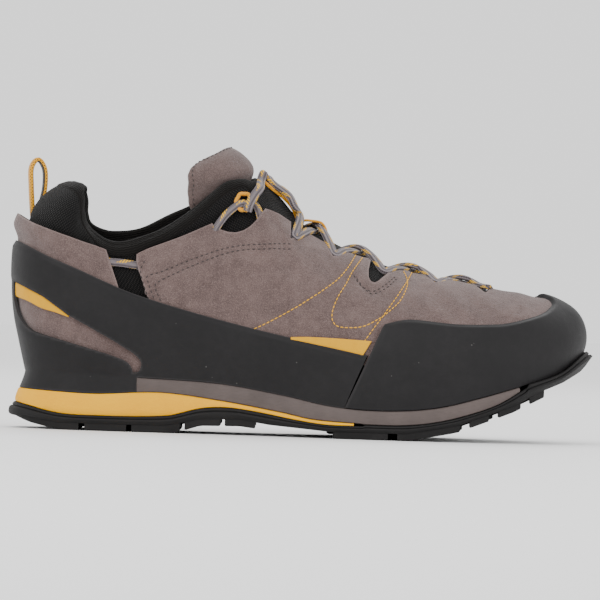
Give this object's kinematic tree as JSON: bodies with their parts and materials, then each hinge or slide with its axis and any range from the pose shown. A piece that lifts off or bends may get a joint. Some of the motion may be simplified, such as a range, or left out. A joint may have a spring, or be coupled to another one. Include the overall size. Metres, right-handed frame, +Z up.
{
  "type": "approach shoe",
  "caption": "Low-cut right approach shoe: suede upper, rubber rand round heel and toe, padded sock collar, laces to the toe, lugged sole.",
  "frame": {"origin": "on the floor under the middle of the heel, on the face of the middle heel lug", "axes": "+X towards the toe along the shoe, +Y towards the inner side of the right foot, +Z up"},
  "size_m": [0.3009, 0.1067, 0.1485],
  "materials": {
    "suede": "taupe suede with a short nap",
    "mesh": "black spacer mesh over foam",
    "rand_rubber": "satin charcoal rubber",
    "outsole_rubber": "matt black rubber",
    "grey_foam": "moulded grey foam",
    "yellow_foam": "moulded yellow foam",
    "bright_trim": "smooth yellow coated trim",
    "insole": "dark grey knitted cover",
    "lace": "woven grey lace with yellow flecks",
    "ring": "yellow coated cord ring",
    "webbing": "yellow and black woven cord"
  },
  "bodies": {
    "root": {"upper": "suede", "sock": "mesh", "tongue": "suede", "heel_rand": "rand_rubber", "toe_rand": "rand_rubber", "side_accent_outer": "bright_trim", "side_accent_inner": "bright_trim", "heel_accent_outer": "bright_trim", "heel_accent_inner": "bright_trim", "insole": "insole", "midsole": "grey_foam", "midsole_wedge": "yellow_foam", "outsole": "outsole_rubber", "laces": "lace", "lace_ring_outer": "ring", "lace_ring_inner": "ring", "pull_loop": "webbing"}
  },
  "joints": []
}
